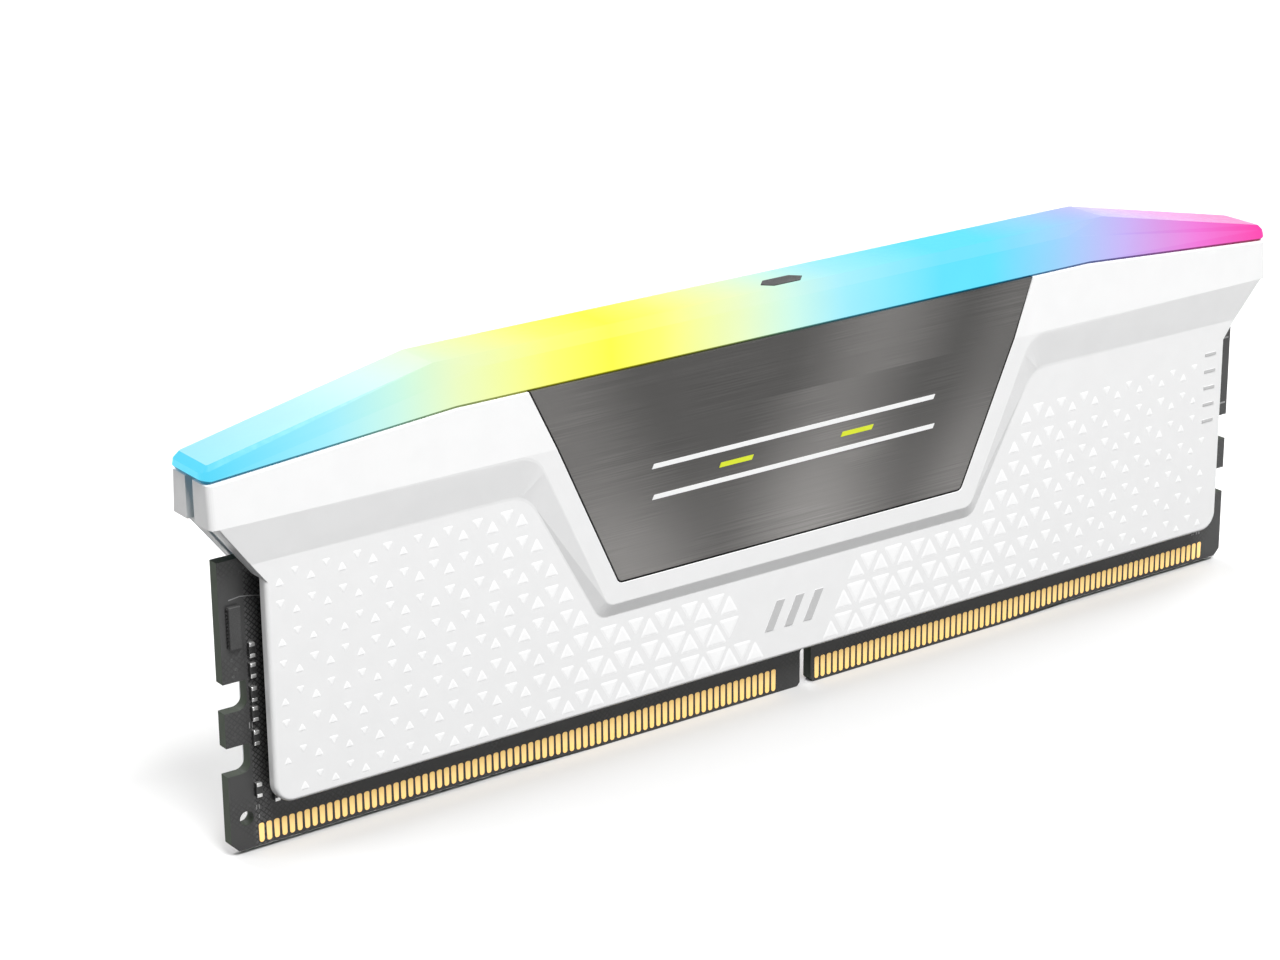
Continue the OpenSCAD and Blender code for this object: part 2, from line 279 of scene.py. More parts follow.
def block(shape, low, high, radius, edge, slot=0, facing=1):
    """A block with rounded corners in X and Z, and a chamfered edge round its outer face."""
    loop = rounded_rectangle(low, high, radius)
    small = inset_loop(loop, [edge] * len(loop))
    back, front = back_and_front(low, high, facing)
    shape.stack([at(loop, back), at(loop, front - edge * facing), at(small, front)], slot)


# Materials


class Graph:
    """A material's node tree, with short calls for the nodes that this scene uses."""

    def __init__(self, name, roughness=0.5, metallic=0.0):
        self.material = bpy.data.materials.new(name)
        self.material.use_nodes = True
        self.tree = self.material.node_tree
        self.shader = self.tree.nodes["Principled BSDF"]
        self.set(Roughness=roughness, Metallic=metallic)
        place = self.node("TexCoord", "Object", {})
        self.place = self.node("Mapping", "Vector", {"Vector": place, "Scale": (1000, 1000, 1000)})

    def put(self, socket, value):
        """Links a socket, or sets a plain value or colour."""
        if isinstance(value, bpy.types.NodeSocket):
            self.tree.links.new(value, socket)
        elif isinstance(value, tuple) and len(value) == 3 and socket.type == "RGBA":
            socket.default_value = (*value, 1)
        else:
            socket.default_value = value

    def set(self, **values):
        """Sets the shader's inputs by name, with _ for a space."""
        for name, value in values.items():
            self.put(self.shader.inputs[name.replace("_", " ")], value)

    def node(self, kind, output, inputs, **settings):
        """Adds a node with its inputs linked or set, and gives one of its outputs."""
        node = self.tree.nodes.new("ShaderNode" + kind)
        for name, value in settings.items():
            setattr(node, name, value)
        for key, value in inputs.items():
            self.put(node.inputs[key], value)
        return node.outputs[output]

    def stretch(self, scale, turn=0.0):
        """The place in millimetres, turned about Y by an angle in degrees, then scaled along each axis."""
        rotation = (0, math.radians(turn), 0)
        turned = self.node("Mapping", "Vector", {"Vector": self.place, "Rotation": rotation})
        return self.node("Mapping", "Vector", {"Vector": turned, "Scale": scale})

    def noise(self, scale, detail=3.0, vector=None, rough=0.5):
        inputs = {"Vector": vector or self.place, "Scale": scale, "Detail": detail, "Roughness": rough}
        return self.node("TexNoise", "Fac", inputs)

    def math(self, operation, a, b=0.0, c=0.0):
        return self.node("Math", "Value", {0: a, 1: b, 2: c}, operation=operation)

    def add(self, a, b):
        return self.math("ADD", a, b)

    def times(self, a, b):
        return self.math("MULTIPLY", a, b)

    def span(self, value, low, high, to_low=0.0, to_high=1.0):
        """Maps a value's range to another range, held at its ends."""
        inputs = {"Value": value, "From Min": low, "From Max": high, "To Min": to_low, "To Max": to_high}
        return self.node("MapRange", "Result", inputs, interpolation_type="SMOOTHSTEP")

    def mix(self, factor, a, b):
        """A blend of two colours. The node's inputs 6 and 7 and its output 2 are its colour sockets."""
        return self.node("Mix", 2, {"Factor": factor, 6: a, 7: b}, data_type="RGBA")

    def multiply(self, colour_a, colour_b):
        return self.node("VectorMath", "Vector", {0: colour_a, 1: colour_b}, operation="MULTIPLY")

    def scale(self, colour, factor):
        """A colour made lighter or darker by a factor."""
        return self.node("VectorMath", "Vector", {0: colour, "Scale": factor}, operation="SCALE")

    def ramp(self, value, stops):
        node = self.tree.nodes.new("ShaderNodeValToRGB")
        elements = node.color_ramp.elements
        for place, _ in stops[2:]:
            elements.new(place)
        for element, (place, colour) in zip(elements, sorted(stops)):
            element.position = place
            element.color = (*colour, 1)
        self.put(node.inputs["Fac"], value)
        return node.outputs["Color"]

    def split(self, vector):
        node = self.tree.nodes.new("ShaderNodeSeparateXYZ")
        self.put(node.inputs["Vector"], vector)
        return node.outputs["X"], node.outputs["Y"], node.outputs["Z"]

    def normal(self):
        """The surface's own direction, which doesn't depend on where it is seen from."""
        return self.node("NewGeometry", "Normal", {})

    def bump(self, height, strength, distance):
        inputs = {"Height": height, "Strength": strength, "Distance": distance * MM}
        self.set(Normal=self.node("Bump", "Normal", inputs))


def tone(level, tint=(1.0, 1.0, 1.0)):
    """A tinted grey."""
    return tuple(level * part for part in tint)


def paint(name, low, high, roughness, grain):
    """White powder coat: faint mottling, a fine orange-peel grain and small patches of other gloss."""
    graph = Graph(name, roughness)
    mottle = graph.noise(0.35, 4.0)
    graph.set(Base_Color=graph.mix(graph.span(mottle, 0.3, 0.7), tone(low), tone(high)))
    gloss = graph.span(graph.noise(0.9, 5.0), 0.25, 0.75, roughness - 0.07, roughness + 0.07)
    graph.set(Roughness=gloss, Specular_IOR_Level=0.3)
    peel = graph.add(graph.noise(5.0, 3.0), graph.times(graph.noise(18.0, 2.0), 0.4))
    graph.bump(peel, grain, 0.02)
    return graph.material


# Tint of the plates' greys
WARM = (1.035, 1.0, 0.965)


def brushed_plate():
    """Dark metal brushed along X: soft lighter zones and a darkening towards the top, both painted
    reflection, a fine grain, and patches of stronger hairlines.
    """
    graph = Graph("brushed_plate", 0.42, 0.35)
    fine = graph.noise(1.0, 5.0, graph.stretch((0.12, 1, 12)), 0.65)
    hair = graph.noise(1.0, 3.0, graph.stretch((0.07, 1, 6.5)), 0.6)
    patch = graph.span(graph.noise(1.0, 2.0, graph.stretch((0.10, 1, 0.17))), 0.40, 0.66)
    x, y, z = graph.split(graph.place)
    # X as the plate's own side sees it, so that the rear plate is the front one turned
    side = graph.times(x, graph.math("SIGN", graph.times(y, -1.0)))
    # Painted reflection: a lighter zone that moves right as it climbs, one at each side, and darker tones
    # towards the top stand in for the lamps' sheen on the brushed metal
    half = graph.math("MULTIPLY_ADD", z, PLATE_LEAN, PLATE_LOW_X - PLATE_LEAN * PLATE_Z)
    fold = graph.math("GREATER_THAN", z, SHOULDER_Z)
    climb = graph.math("MAXIMUM", graph.math("SUBTRACT", z, SHOULDER_Z - 10.5), 0.0)
    sheen_peak = graph.math("MULTIPLY_ADD", climb, 0.35, graph.math("MULTIPLY_ADD", fold, 4.0, 2.5))
    middle = graph.span(graph.math("ABSOLUTE", graph.math("SUBTRACT", side, sheen_peak)), 0.0, 13.0, 1.0, 0.0)
    left = graph.span(graph.add(side, half), 1.0, 14.0, 0.8, 0.0)
    right = graph.span(graph.math("SUBTRACT", half, side), 1.0, 9.0, 0.5, 0.0)
    painted_sheen = graph.add(middle, graph.add(left, right))
    height = graph.span(z, SHOULDER_Z - 14.5, SHOULDER_Z - 1.5)
    low_tone = graph.mix(height, tone(0.100, WARM), tone(0.060, WARM))
    high_tone = graph.mix(height, tone(0.240, WARM), tone(0.146, WARM))
    base = graph.mix(painted_sheen, low_tone, high_tone)
    fine_gain = graph.span(fine, 0.3, 0.7, -0.06, 0.06)
    hair_gain = graph.times(graph.span(hair, 0.3, 0.7, -0.15, 0.22), patch)
    gain = graph.add(1.0, graph.add(fine_gain, hair_gain))
    graph.set(Base_Color=graph.scale(base, gain), Anisotropic=0.5)
    graph.set(Roughness=graph.span(fine, 0.3, 0.7, 0.34, 0.55))
    graph.bump(graph.add(fine, graph.times(hair, patch)), 0.3, 0.02)
    return graph.material


def solder_mask():
    """Near-black solder mask. A woven copper ground shows through it in patches, and palest in the strip of
    board beside the left end of the spreader. The cut edges are bare laminate with a green tint, and the
    ones that face up are darker, a painted shade."""
    graph = Graph("solder_mask", 0.42)
    thread = 0.21
    strip_low, strip_high, soft = -64.2, -61.9, 0.4
    threads = []
    for turn in (45, -45):
        across = graph.split(graph.stretch((1, 1, 1), turn))[0]
        threads.append(graph.math("PINGPONG", across, thread))
    weave = graph.times(graph.math("MAXIMUM", *threads), 1 / thread)
    x = graph.split(graph.place)[0]
    strip = graph.times(
        graph.span(x, strip_low, strip_low + soft), graph.span(x, strip_high - soft, strip_high, 1.0, 0.0))
    shown = graph.math("MAXIMUM", strip, graph.span(graph.noise(0.16, 2.0), 0.42, 0.6, 0.0, 0.45))
    weave = graph.times(graph.span(weave, 0.6, 0.85), shown)
    base = graph.mix(graph.noise(0.5, 3.0), tone(0.030), tone(0.042))
    base = graph.mix(graph.times(strip, 0.6), base, tone(0.095))
    base = graph.mix(weave, base, tone(0.006))
    crossing = graph.span(graph.noise(2.6, 2.0), 0.58, 0.68, 0.0, 0.5)
    base = graph.mix(graph.times(crossing, shown), base, tone(0.10))
    _, forward, up = graph.split(graph.normal())
    cut = graph.span(graph.math("ABSOLUTE", forward), 0.3, 0.7, 1.0, 0.0)
    layers = graph.noise(1.0, 4.0, graph.stretch((0.4, 9, 0.4)), 0.7)
    laminate = graph.mix(layers, (0.026, 0.037, 0.022), (0.044, 0.060, 0.038))
    # Painted shade: cut edges that face up are darkened, for the shade that falls on the board's upper edge
    laminate = graph.scale(laminate, graph.span(up, 0.3, 0.9, 1.0, 0.45))
    graph.set(Base_Color=graph.mix(cut, base, laminate))
    graph.set(Roughness=graph.add(graph.times(cut, 0.3), 0.4))
    graph.bump(graph.add(weave, graph.times(graph.noise(9.0, 2.0), 0.5)), 0.25, 0.03)
    return graph.material


def contact_gold():
    """Gold flash with a paler middle and fine wiping marks up and down. It glows a little, to make up for
    the spreader's shade."""
    graph = Graph("contact_gold", 0.35, 0.05)
    half_h = 1.3
    above = graph.math("SUBTRACT", graph.split(graph.place)[2], ENDS_Z + half_h)
    middle = graph.span(graph.math("ABSOLUTE", above), 0.0, half_h, 1.0, 0.0)
    wipe = graph.noise(1.0, 3.0, graph.stretch((6, 1, 0.4)), 0.6)
    base = graph.mix(middle, (1.0, 0.68, 0.21), (1.0, 0.76, 0.31))
    base = graph.mix(graph.span(wipe, 0.45, 0.75, 0.0, 0.14), base, (0.95, 0.56, 0.16))
    graph.set(Base_Color=base, Roughness=graph.span(wipe, 0.3, 0.7, 0.28, 0.45))
    graph.set(Emission_Color=(1.0, 0.62, 0.235), Emission_Strength=0.43)
    graph.bump(wipe, 0.12, 0.01)
    return graph.material


def speckled(name, dark, light, roughness, scale=6.0, grain=0.3, metallic=0.0):
    """A moulded, plated or sintered body: two near tones in a fine speckle, with an uneven gloss."""
    graph = Graph(name, roughness, metallic)
    speck = graph.noise(scale, 6.0, rough=0.7)
    cloud = graph.noise(scale / 12, 2.0)
    base = graph.mix(graph.span(speck, 0.35, 0.65), dark, light)
    graph.set(Base_Color=graph.mix(graph.times(cloud, 0.4), base, dark))
    graph.set(Roughness=graph.span(cloud, 0.3, 0.7, roughness - 0.08, roughness + 0.08))
    graph.bump(speck, grain, 0.015)
    return graph.material


def ink(name, colour, roughness=0.5):
    """Screen-printed ink: the mesh of the screen shows faintly in its edge-to-edge density."""
    graph = Graph(name, roughness)
    mesh = graph.noise(7.0, 2.0, graph.stretch((1.4, 1, 1.4), 20))
    thin = graph.span(mesh, 0.35, 0.7, 0.0, 0.12)
    graph.set(Base_Color=graph.mix(thin, colour, tuple(part * 0.7 for part in colour)))
    graph.set(Roughness=graph.span(graph.noise(2.0), 0.3, 0.7, roughness - 0.06, roughness + 0.06))
    graph.bump(mesh, 0.15, 0.01)
    return graph.material


def clear_acrylic():
    """The strip that carries light upward: clear, faintly frosted, with fine flow lines."""
    graph = Graph("clear_acrylic", 0.25)
    flow = graph.noise(1.0, 3.0, graph.stretch((0.15, 1, 2)))
    graph.set(Base_Color=graph.mix(flow, (0.80, 0.90, 0.95), (0.92, 0.97, 1.0)))
    graph.set(Transmission_Weight=0.7, IOR=1.49, Roughness=graph.span(flow, 0.3, 0.7, 0.18, 0.4))
    graph.bump(flow, 0.1, 0.02)
    return graph.material


# Colours along the light bar, by X
CYAN = (0.13, 0.74, 0.97)
PALE_CYAN = (0.36, 0.86, 1.0)
MINT = (0.62, 0.95, 0.83)
LIME = (0.85, 0.98, 0.56)
LEMON = (1.0, 1.0, 0.19)
YELLOW = (1.0, 1.0, 0.08)
AQUA = (0.13, 0.78, 1.0)
SKY = (0.32, 0.67, 0.98)
LILAC = (0.60, 0.46, 0.92)
PINK = (0.89, 0.21, 0.72)
HOT_PINK = (1.0, 0.08, 0.48)
BAR_SPAN = 140
BAR_COLOURS = (
    (-68, CYAN), (-56, PALE_CYAN), (-48, MINT), (-41, LIME), (-30, LEMON), (-23, YELLOW), (-17, LEMON),
    (-7, LIME), (0, MINT), (7, PALE_CYAN), (20, AQUA), (27, AQUA), (36, SKY), (47, LILAC), (58, PINK),
    (68, HOT_PINK),
)


def lit_diffuser():
    """Milky plastic lit from inside. Its colour runs along X, deeper at the tips' shoulders. A painted
    highlight, by which way a face looks, makes the falling ends of its top palest and the shoulder facets
    between them a little paler. The lip underneath is painted in its own shade."""
    graph = Graph("lit_diffuser", 0.35)
    x = graph.split(graph.place)[0]
    along = graph.add(graph.math("DIVIDE", x, BAR_SPAN), 0.5)
    hue = graph.ramp(along, [(0.5 + place / BAR_SPAN, colour) for place, colour in BAR_COLOURS])
    up = graph.split(graph.normal())[2]
    ends = graph.span(graph.math("ABSOLUTE", x), 40.0, 48.0)
    top = graph.span(up, 0.85, 0.95)
    shoulder = graph.times(graph.span(up, 0.12, 0.25), graph.span(up, 0.85, 0.95, 1.0, 0.0))
    deep = graph.times(shoulder, ends)
    hue = graph.mix(graph.times(deep, 0.18), hue, graph.multiply(hue, hue))
    # Painted highlight: faces of the ends that look up, and the shoulder facets elsewhere, are mixed towards
    # white
    painted_top_highlight = graph.times(graph.times(top, ends), 0.24)
    painted_crease_highlight = graph.times(graph.math("SUBTRACT", shoulder, deep), 0.06)
    painted_highlight = graph.add(painted_top_highlight, painted_crease_highlight)
    cloud = graph.span(graph.noise(0.12, 2.0), 0.3, 0.7, 0.97, 1.0)
    glow = graph.scale(graph.mix(painted_highlight, hue, (1.0, 1.0, 1.0)), cloud)
    shade = graph.scale(graph.multiply(hue, hue), 0.3)
    under = graph.span(up, -0.55, -0.25)
    graph.set(Emission_Color=graph.mix(under, shade, glow), Emission_Strength=1.0)
    graph.set(Base_Color=graph.scale(glow, 0.02), Specular_IOR_Level=0.1)
    graph.set(Roughness=graph.span(graph.noise(1.2, 4.0), 0.3, 0.7, 0.28, 0.42))
    graph.bump(graph.noise(6.0, 3.0), 0.08, 0.02)
    return graph.material


def pale_floor():
    """A matt pale floor with the faintest unevenness, which glows evenly beyond the lamps' reach."""
    graph = Graph("pale_floor", 0.85)
    near, far = 450.0, 1500.0
    x, y, _ = graph.split(graph.place)
    reach = graph.math("SQRT", graph.add(graph.times(x, x), graph.times(y, y)))
    graph.set(Emission_Color=tone(0.94), Emission_Strength=graph.span(reach, near, far, 0.0, 0.95))
    graph.set(Base_Color=graph.mix(graph.noise(0.01, 2.0), tone(0.56), tone(0.58)))
    graph.set(Roughness=graph.span(graph.noise(0.05), 0.3, 0.7, 0.8, 0.9))
    graph.bump(graph.noise(1.5, 3.0), 0.03, 0.05)
    return graph.material


# Heat spreader


def face_depth(z):
    """Depth of the spreader's outer face away from the frame: panel, slope under the band, leaning band."""
    if z > SHOULDER_Z:
        return BAND_DEPTH - (BAND_DEPTH - TOP_DEPTH) * (z - SHOULDER_Z) / (TOP_Z - SHOULDER_Z)
    rise = min(max((z - SLOPE_Z) / (SHOULDER_Z - SLOPE_Z), 0), 1)
    return PANEL_DEPTH + (BAND_DEPTH - PANEL_DEPTH) * rise


def frame_depth(z):
    """Depth of the frame's and the band's face beside the plate."""
    return face_depth(max(z, SHOULDER_Z))


def plate_x(z, gap=0.0):
    """Half the plate's width at a height, widened by a gap measured square to its slanted side."""
    slant = 1.1
    return PLATE_LOW_X + PLATE_LEAN * (z - PLATE_Z) + gap * slant


def spreader_outline():
    """The outline with the plate's pocket open at its top, anticlockwise from the lower edge's right end.
    Each entry is (x, z, kind of the edge that follows)."""
    tab_x = END_X - TAB_STEP
    slope_x = SIDE_X + (tab_x - SIDE_X) * (SLOPE_Z - KNEE_Z) / (SHOULDER_Z - KNEE_Z)
    corner = arc((0, PANEL_Z), (SIDE_X, PANEL_Z), (SIDE_X, KNEE_Z), CORNER_R, 12)
    right = [(x, z, "low") for x, z in corner[:-1]]
    right.append((*corner[-1], "side"))
    right += [(SIDE_X, KNEE_Z, "under"), (slope_x, SLOPE_Z, "under")]
    right += [(tab_x, SHOULDER_Z, "tab"), (END_X, SHOULDER_Z, "end")]
    right += [(END_X, END_TOP_Z, "top"), (TOP_FLAT_X, TOP_Z, "top")]
    pocket_low = PLATE_Z - PLATE_GAP
    pocket_foot = (plate_x(pocket_low, PLATE_GAP), pocket_low)
    pocket_top = (plate_x(TOP_Z, PLATE_GAP), TOP_Z)
    right += [(*pocket_top, "pocket"), (plate_x(SHOULDER_Z, PLATE_GAP), SHOULDER_Z, "pocket")]
    right += [(x, z, "pocket") for x, z in arc(pocket_top, pocket_foot, (0, pocket_low), PLATE_CORNER_R, 6)]
    left_kinds = [kind for _, _, kind in reversed(right[:-1])] + ["low"]
    left = [(-x, z, kind) for (x, z, _), kind in zip(reversed(right), left_kinds)]
    return right + left


# How far each kind of edge is rounded inward, and how far it drops there
EDGES = {
    "low": (0.4, 0.42), "side": (0.4, 0.42), "under": (0.1, 0.3), "tab": (0.03, 0.3), "end": (0.76, 0.66),
    "top": (0.12, 0.2), "pocket": (0.05, 0.06),
}
RIM_KINDS = ("under", "tab", "end")
EDGE_STEPS = 6


def ruled_line(corners, low_z, end):
    """A line round the frame, from the left end to the right: along the band, down, across and up again."""
    (foot_x, foot_z, foot_r), (neck_x, neck_z, neck_r) = corners
    foot, neck = (foot_x, foot_z), (neck_x, neck_z)
    right = arc((0, low_z), foot, neck, foot_r, 8) + arc(foot, neck, end, neck_r, 8) + [end]
    return [(-x, z) for x, z in reversed(right)] + right


def in_polygon(x, z, loop):
    """Whether a point lies inside an outline."""
    inside = False
    for (xa, za), (xb, zb) in zip(loop, loop[1:] + loop[:1]):
        if (za > z) != (zb > z) and x < (xb - xa) * (z - za) / (zb - za) + xa:
            inside = not inside
    return inside


def cell_is_plain(corners):
    """Whether the pattern leaves a cell out, because of a margin, the frame or the printed marks."""
    (foot_x, foot_z, _), (neck_x, neck_z, _) = FOOT_CORNERS
    slope = (neck_x - foot_x) / (neck_z - foot_z)
    corner_z = PANEL_Z + CORNER_R
    for x, z in corners:
        width = abs(x)
        if any((
            width > SIDE_X - SIDE_MARGIN,
            z < PANEL_Z + LOW_MARGIN,
            z < corner_z and width + corner_z - z > SIDE_X - CORNER_MARGIN,
            z > foot_z - FRAME_LOW_MARGIN and width < foot_x + FRAME_SIDE_MARGIN + slope * (z - foot_z),
            width < BARS_HALF_W + BARS_LEAN * (z - BARS_LOW_Z),
            x > TICKS_X and z > TICKS_Z,
            x > 0 and z > RIGHT_TOP_Z,
        )):
            return True
    return False


def pattern_cells():
    """The raised triangles, as an outline on the panel and a smaller one on top. They shrink to the ends."""
    chance = random.Random(5)
    cells = []
    for row in range(CELL_ROWS):
        low = CELL_LOW_Z + row * CELL_H
        for column in CELL_COLUMNS:
            upright = (column + row) % 2 == 0
            middle_x = CELL_FIRST_X + column * CELL_W / 2
            middle_z = low + CELL_H * (1 / 3 if upright else 2 / 3)
            # About three quarters of the cell in the middle, and down to a quarter at the ends
            size = (0.26 + 0.48 / (1 + (abs(middle_x) / 32) ** 4)) * chance.uniform(0.9, 1.1)
            flip = 1 if upright else -1
            loops = []
            for share in (1, CELL_TOP_SHARE):
                reach = flip * size * share
                corners = [
                    (middle_x + reach * dx * CELL_W, middle_z + reach * dz * CELL_H)
                    for dx, dz in ((-0.5, -1 / 3), (0.5, -1 / 3), (0, 2 / 3))
                ]
                if not cell_is_plain(corners):
                    loops.append(rounded(corners, (0.09 + 0.05 * size) * share, 2))
            if len(loops) == 2:
                cells.append(loops)
    return cells


def outer_skin(shape, rim_loop):
    """The spreader's outer face inside its rounded rim: the slopes, the frame and the raised triangles."""
    points = []
    depths = []
    cell_of = {}

    def add(x, z, depth):
        points.append(Vector((x, z)))
        depths.append(depth)
        return len(points) - 1

    rim = [add(x, z, depth) for x, z, depth in rim_loop]
    edges = list(zip(rim, rim[1:] + rim[:1]))
    outline = [(x, z) for x, z, _ in rim_loop]

    def nearest(x, z):
        return min(rim, key=lambda i: (points[i] - Vector((x, z))).length)

    foot_end = (SIDE_X + 2, SLOPE_Z)
    face_end = (END_X - TAB_STEP - 0.1, SHOULDER_Z)
    foot = ruled_line(FOOT_CORNERS, FOOT_CORNERS[0][1], foot_end)
    face = ruled_line(FACE_CORNERS, FACE_CORNERS[0][1], face_end)
    # How far each line is across the slope and up it, with both its edges eased
    for share, rise in ((0, 0), (0.07, 0.035), (0.93, 0.965), (1, 1)):
        line = []
        for (xa, za), (xb, zb) in list(zip(foot, face))[1:-1]:
            x = xa + (xb - xa) * share
            z = za + (zb - za) * share
            line.append(add(x, z, PANEL_DEPTH + (BAND_DEPTH - PANEL_DEPTH) * rise))
        end = foot_end if share < 0.5 else face_end
        line = [nearest(-end[0], end[1])] + line + [nearest(*end)]
        edges += list(zip(line, line[1:]))
        if share == 1:
            for side, neck in ((-1, line[1]), (1, line[-2])):
                edges.append((nearest(side * plate_x(SHOULDER_Z, PLATE_GAP), SHOULDER_Z), neck))
    for number, (cell, crown) in enumerate(pattern_cells()):
        ring = [add(x, z, PANEL_DEPTH) for x, z in cell]
        cell_of.update({i: number for i in ring})
        edges += list(zip(ring, ring[1:] + ring[:1]))
        base = at(cell, PANEL_DEPTH)
        top = at(crown, PANEL_DEPTH + CELL_RISE)
        shape.strip(base, top, 1)
        shape.face(top, 1)
    found, _, triangles, origins, _, _ = geometry.delaunay_2d_cdt(points, edges, [], 0, 1e-5)
    spots = [(p.x, -depths[o[0]], p.y) if o else None for p, o in zip(found, origins)]
    owner = [cell_of.get(o[0]) if o else None for o in origins]
    for triangle in triangles:
        corners = [spots[i] for i in triangle]
        under_cell = owner[triangle[0]] is not None and len({owner[i] for i in triangle}) == 1
        if None in corners or under_cell:
            continue
        x = sum(corner[0] for corner in corners) / 3
        z = sum(corner[2] for corner in corners) / 3
        if in_polygon(x, z, outline):
            shape.face(corners)


def spreader(name, node, turned):
    """One shell: patterned outer face, rounded rim, pocket for the plate, back, and the rims of its ends."""
    shape = Shape()
    outline = spreader_outline()
    flat = [(x, z) for x, z, _ in outline]
    kinds = [kind for _, _, kind in outline]
    widths = [EDGES[kind][0] for kind in kinds]
    drops = [max(EDGES[kinds[i - 1]][1], EDGES[kind][1]) for i, kind in enumerate(kinds)]
    framed = ["pocket" in (kinds[i - 1], kind) for i, kind in enumerate(kinds)]
    depth_of = [frame_depth if beside else face_depth for beside in framed]
    loops = []
    for step in range(EDGE_STEPS + 1):
        turn = math.pi / 2 * step / EDGE_STEPS
        moved = inset_loop(flat, [width * (1 - math.cos(turn)) for width in widths])
        sink = 1 - math.sin(turn)
        loops.append([(x, z, depth_of[i](z) - drops[i] * sink) for i, (x, z) in enumerate(moved)])
    for loop_a, loop_b in zip(loops, loops[1:]):
        shape.strip([(x, -d, z) for x, z, d in loop_a], [(x, -d, z) for x, z, d in loop_b])
    outer_skin(shape, loops[-1])

    def pocket_point(x, z):
        return x, POCKET_T - frame_depth(z), z

    for i, kind in enumerate(kinds):
        j = (i + 1) % len(kinds)
        (xa, za, da), (xb, zb, db) = loops[0][i], loops[0][j]
        wall = [(xa, -da, za), (xb, -db, zb)]
        if kind == "pocket":
            wall += [pocket_point(xb, zb), pocket_point(xa, za)]
        else:
            back = RIM_DEPTH if kind in RIM_KINDS else INNER_DEPTH
            if kind == "top" and kinds[j] == "pocket":
                wall.append(pocket_point(xb, zb))
            wall += [(xb, -back, zb), (xa, -back, za)]
            if kind == "top" and kinds[i - 1] == "pocket":
                wall.append(pocket_point(xa, za))
        # Slot 2, on the pocket's walls and on its floor below, is a painted shade for the thin gap round the
        # plate
        shape.face(wall, 2 if kind == "pocket" else 0)
    floor = [point for point, kind in zip(flat, kinds) if kind == "pocket"]
    floor.append((-floor[0][0], floor[0][1]))
    low = [point for point in floor if point[1] <= SHOULDER_Z + 1e-6]
    high = [point for point in floor if point[1] >= SHOULDER_Z - 1e-6]
    for part in (low, high):
        shape.face([pocket_point(x, z) for x, z in part], 2)
    half_w = floor[0][0]
    inner = [(x, -INNER_DEPTH, TOP_Z) for x in (-half_w, half_w)]
    shape.face([pocket_point(half_w, TOP_Z), pocket_point(-half_w, TOP_Z)] + inner)
    close_back(shape, flat, kinds)
    shape.build(name, (WHITE_PAINT, WHITE_FACET, POCKET_PAINTED_SHADE), node, turned)


def close_back(shape, flat, kinds):
    """The shell's flat back, and the rims that stand behind it along both upper ends."""
    lean = math.atan2(SHOULDER_Z - KNEE_Z, END_X - TAB_STEP - SIDE_X)
    bend_z = SHOULDER_Z + TAB_STEP * math.tan(lean) + RIM_T * (1 - math.sin(lean)) / math.cos(lean)
    inner = [
        (END_X - RIM_T, END_TOP_Z),
        (END_X - RIM_T, bend_z),
        (SIDE_X - RIM_T * math.sin(lean), KNEE_Z + RIM_T * math.cos(lean)),
    ]
    kind_of = list(zip(flat, kinds, [kinds[-1]] + kinds))
    rim = [point for point, *both in kind_of if point[0] > 0 and set(both) & set(RIM_KINDS)]
    for side in (1, -1):
        whole = [(side * x, z) for x, z in rim + inner]
        shape.face(at(whole, RIM_DEPTH))
        steps = [(side * x, z) for x, z in [rim[-1]] + inner + [rim[0]]]
        shape.strip(at(steps, RIM_DEPTH), at(steps, INNER_DEPTH), 0, False)
    right = [point for point, kind, _ in kind_of if point[0] > 0 and kind in ("low", "side")]
    right += [rim[0]] + list(reversed(inner)) + [rim[-1], (TOP_FLAT_X, TOP_Z)]
    right.append(next(point for point, kind, _ in kind_of if kind == "pocket"))
    back = right + [(-x, z) for x, z in reversed(right)]
    shape.face(at(back, INNER_DEPTH))


# Plate


def plate(name, node, turned):
    """The brushed plate: a folded trapezoid with rounded lower corners and softly broken edges."""
    shape = Shape()
    foot = (PLATE_LOW_X, PLATE_Z)
    top = (plate_x(TOP_Z), TOP_Z)
    right = arc((0, PLATE_Z), foot, top, PLATE_CORNER_R - PLATE_GAP, 6)
    right += [(plate_x(SHOULDER_Z), SHOULDER_Z), top]
    loop = right + [(-x, z) for x, z in reversed(right)]
    rounds = []
    for share in (0, 0.3, 1):
        moved = inset_loop(loop, [PLATE_ROUND * share] * len(loop))
        drop = PLATE_RECESS + PLATE_ROUND * (1 - math.sqrt(1 - (1 - share) ** 2))
        rounds.append([(x, drop - frame_depth(z), z) for x, z in moved])
    back = [(x, PLATE_RECESS + PLATE_T - frame_depth(z), z) for x, z in loop]
    shape.strip(back, rounds[0])
    for loop_a, loop_b in zip(rounds, rounds[1:]):
        shape.strip(loop_a, loop_b)
    for ring in (back, rounds[-1]):
        split = len(right) - 2
        shape.face(ring[:split + 1] + ring[len(ring) - split - 1:])
        shape.face(ring[split:len(ring) - split])
    shape.build(name, (BRUSHED_PLATE,), node, turned)


# Light bar


def bar_ring(turn, low, crease, top):
    """One section of the bar, as points (x, y, z) from its front lower edge over the top to the rear.
    The lower edge is cut back under a lip, the way that the side faces there, and most at the ends."""
    x, y, z = low
    cut = BAR_LIP + (BAR_END_LIP - BAR_LIP) * math.sin(turn)
    lip = (x - cut * math.sin(turn), y - cut * math.cos(turn), z)
    half = [lip, (x, y, z + cut), crease, top]
    return [(x, -y, z) for x, y, z in half] + list(reversed(half))


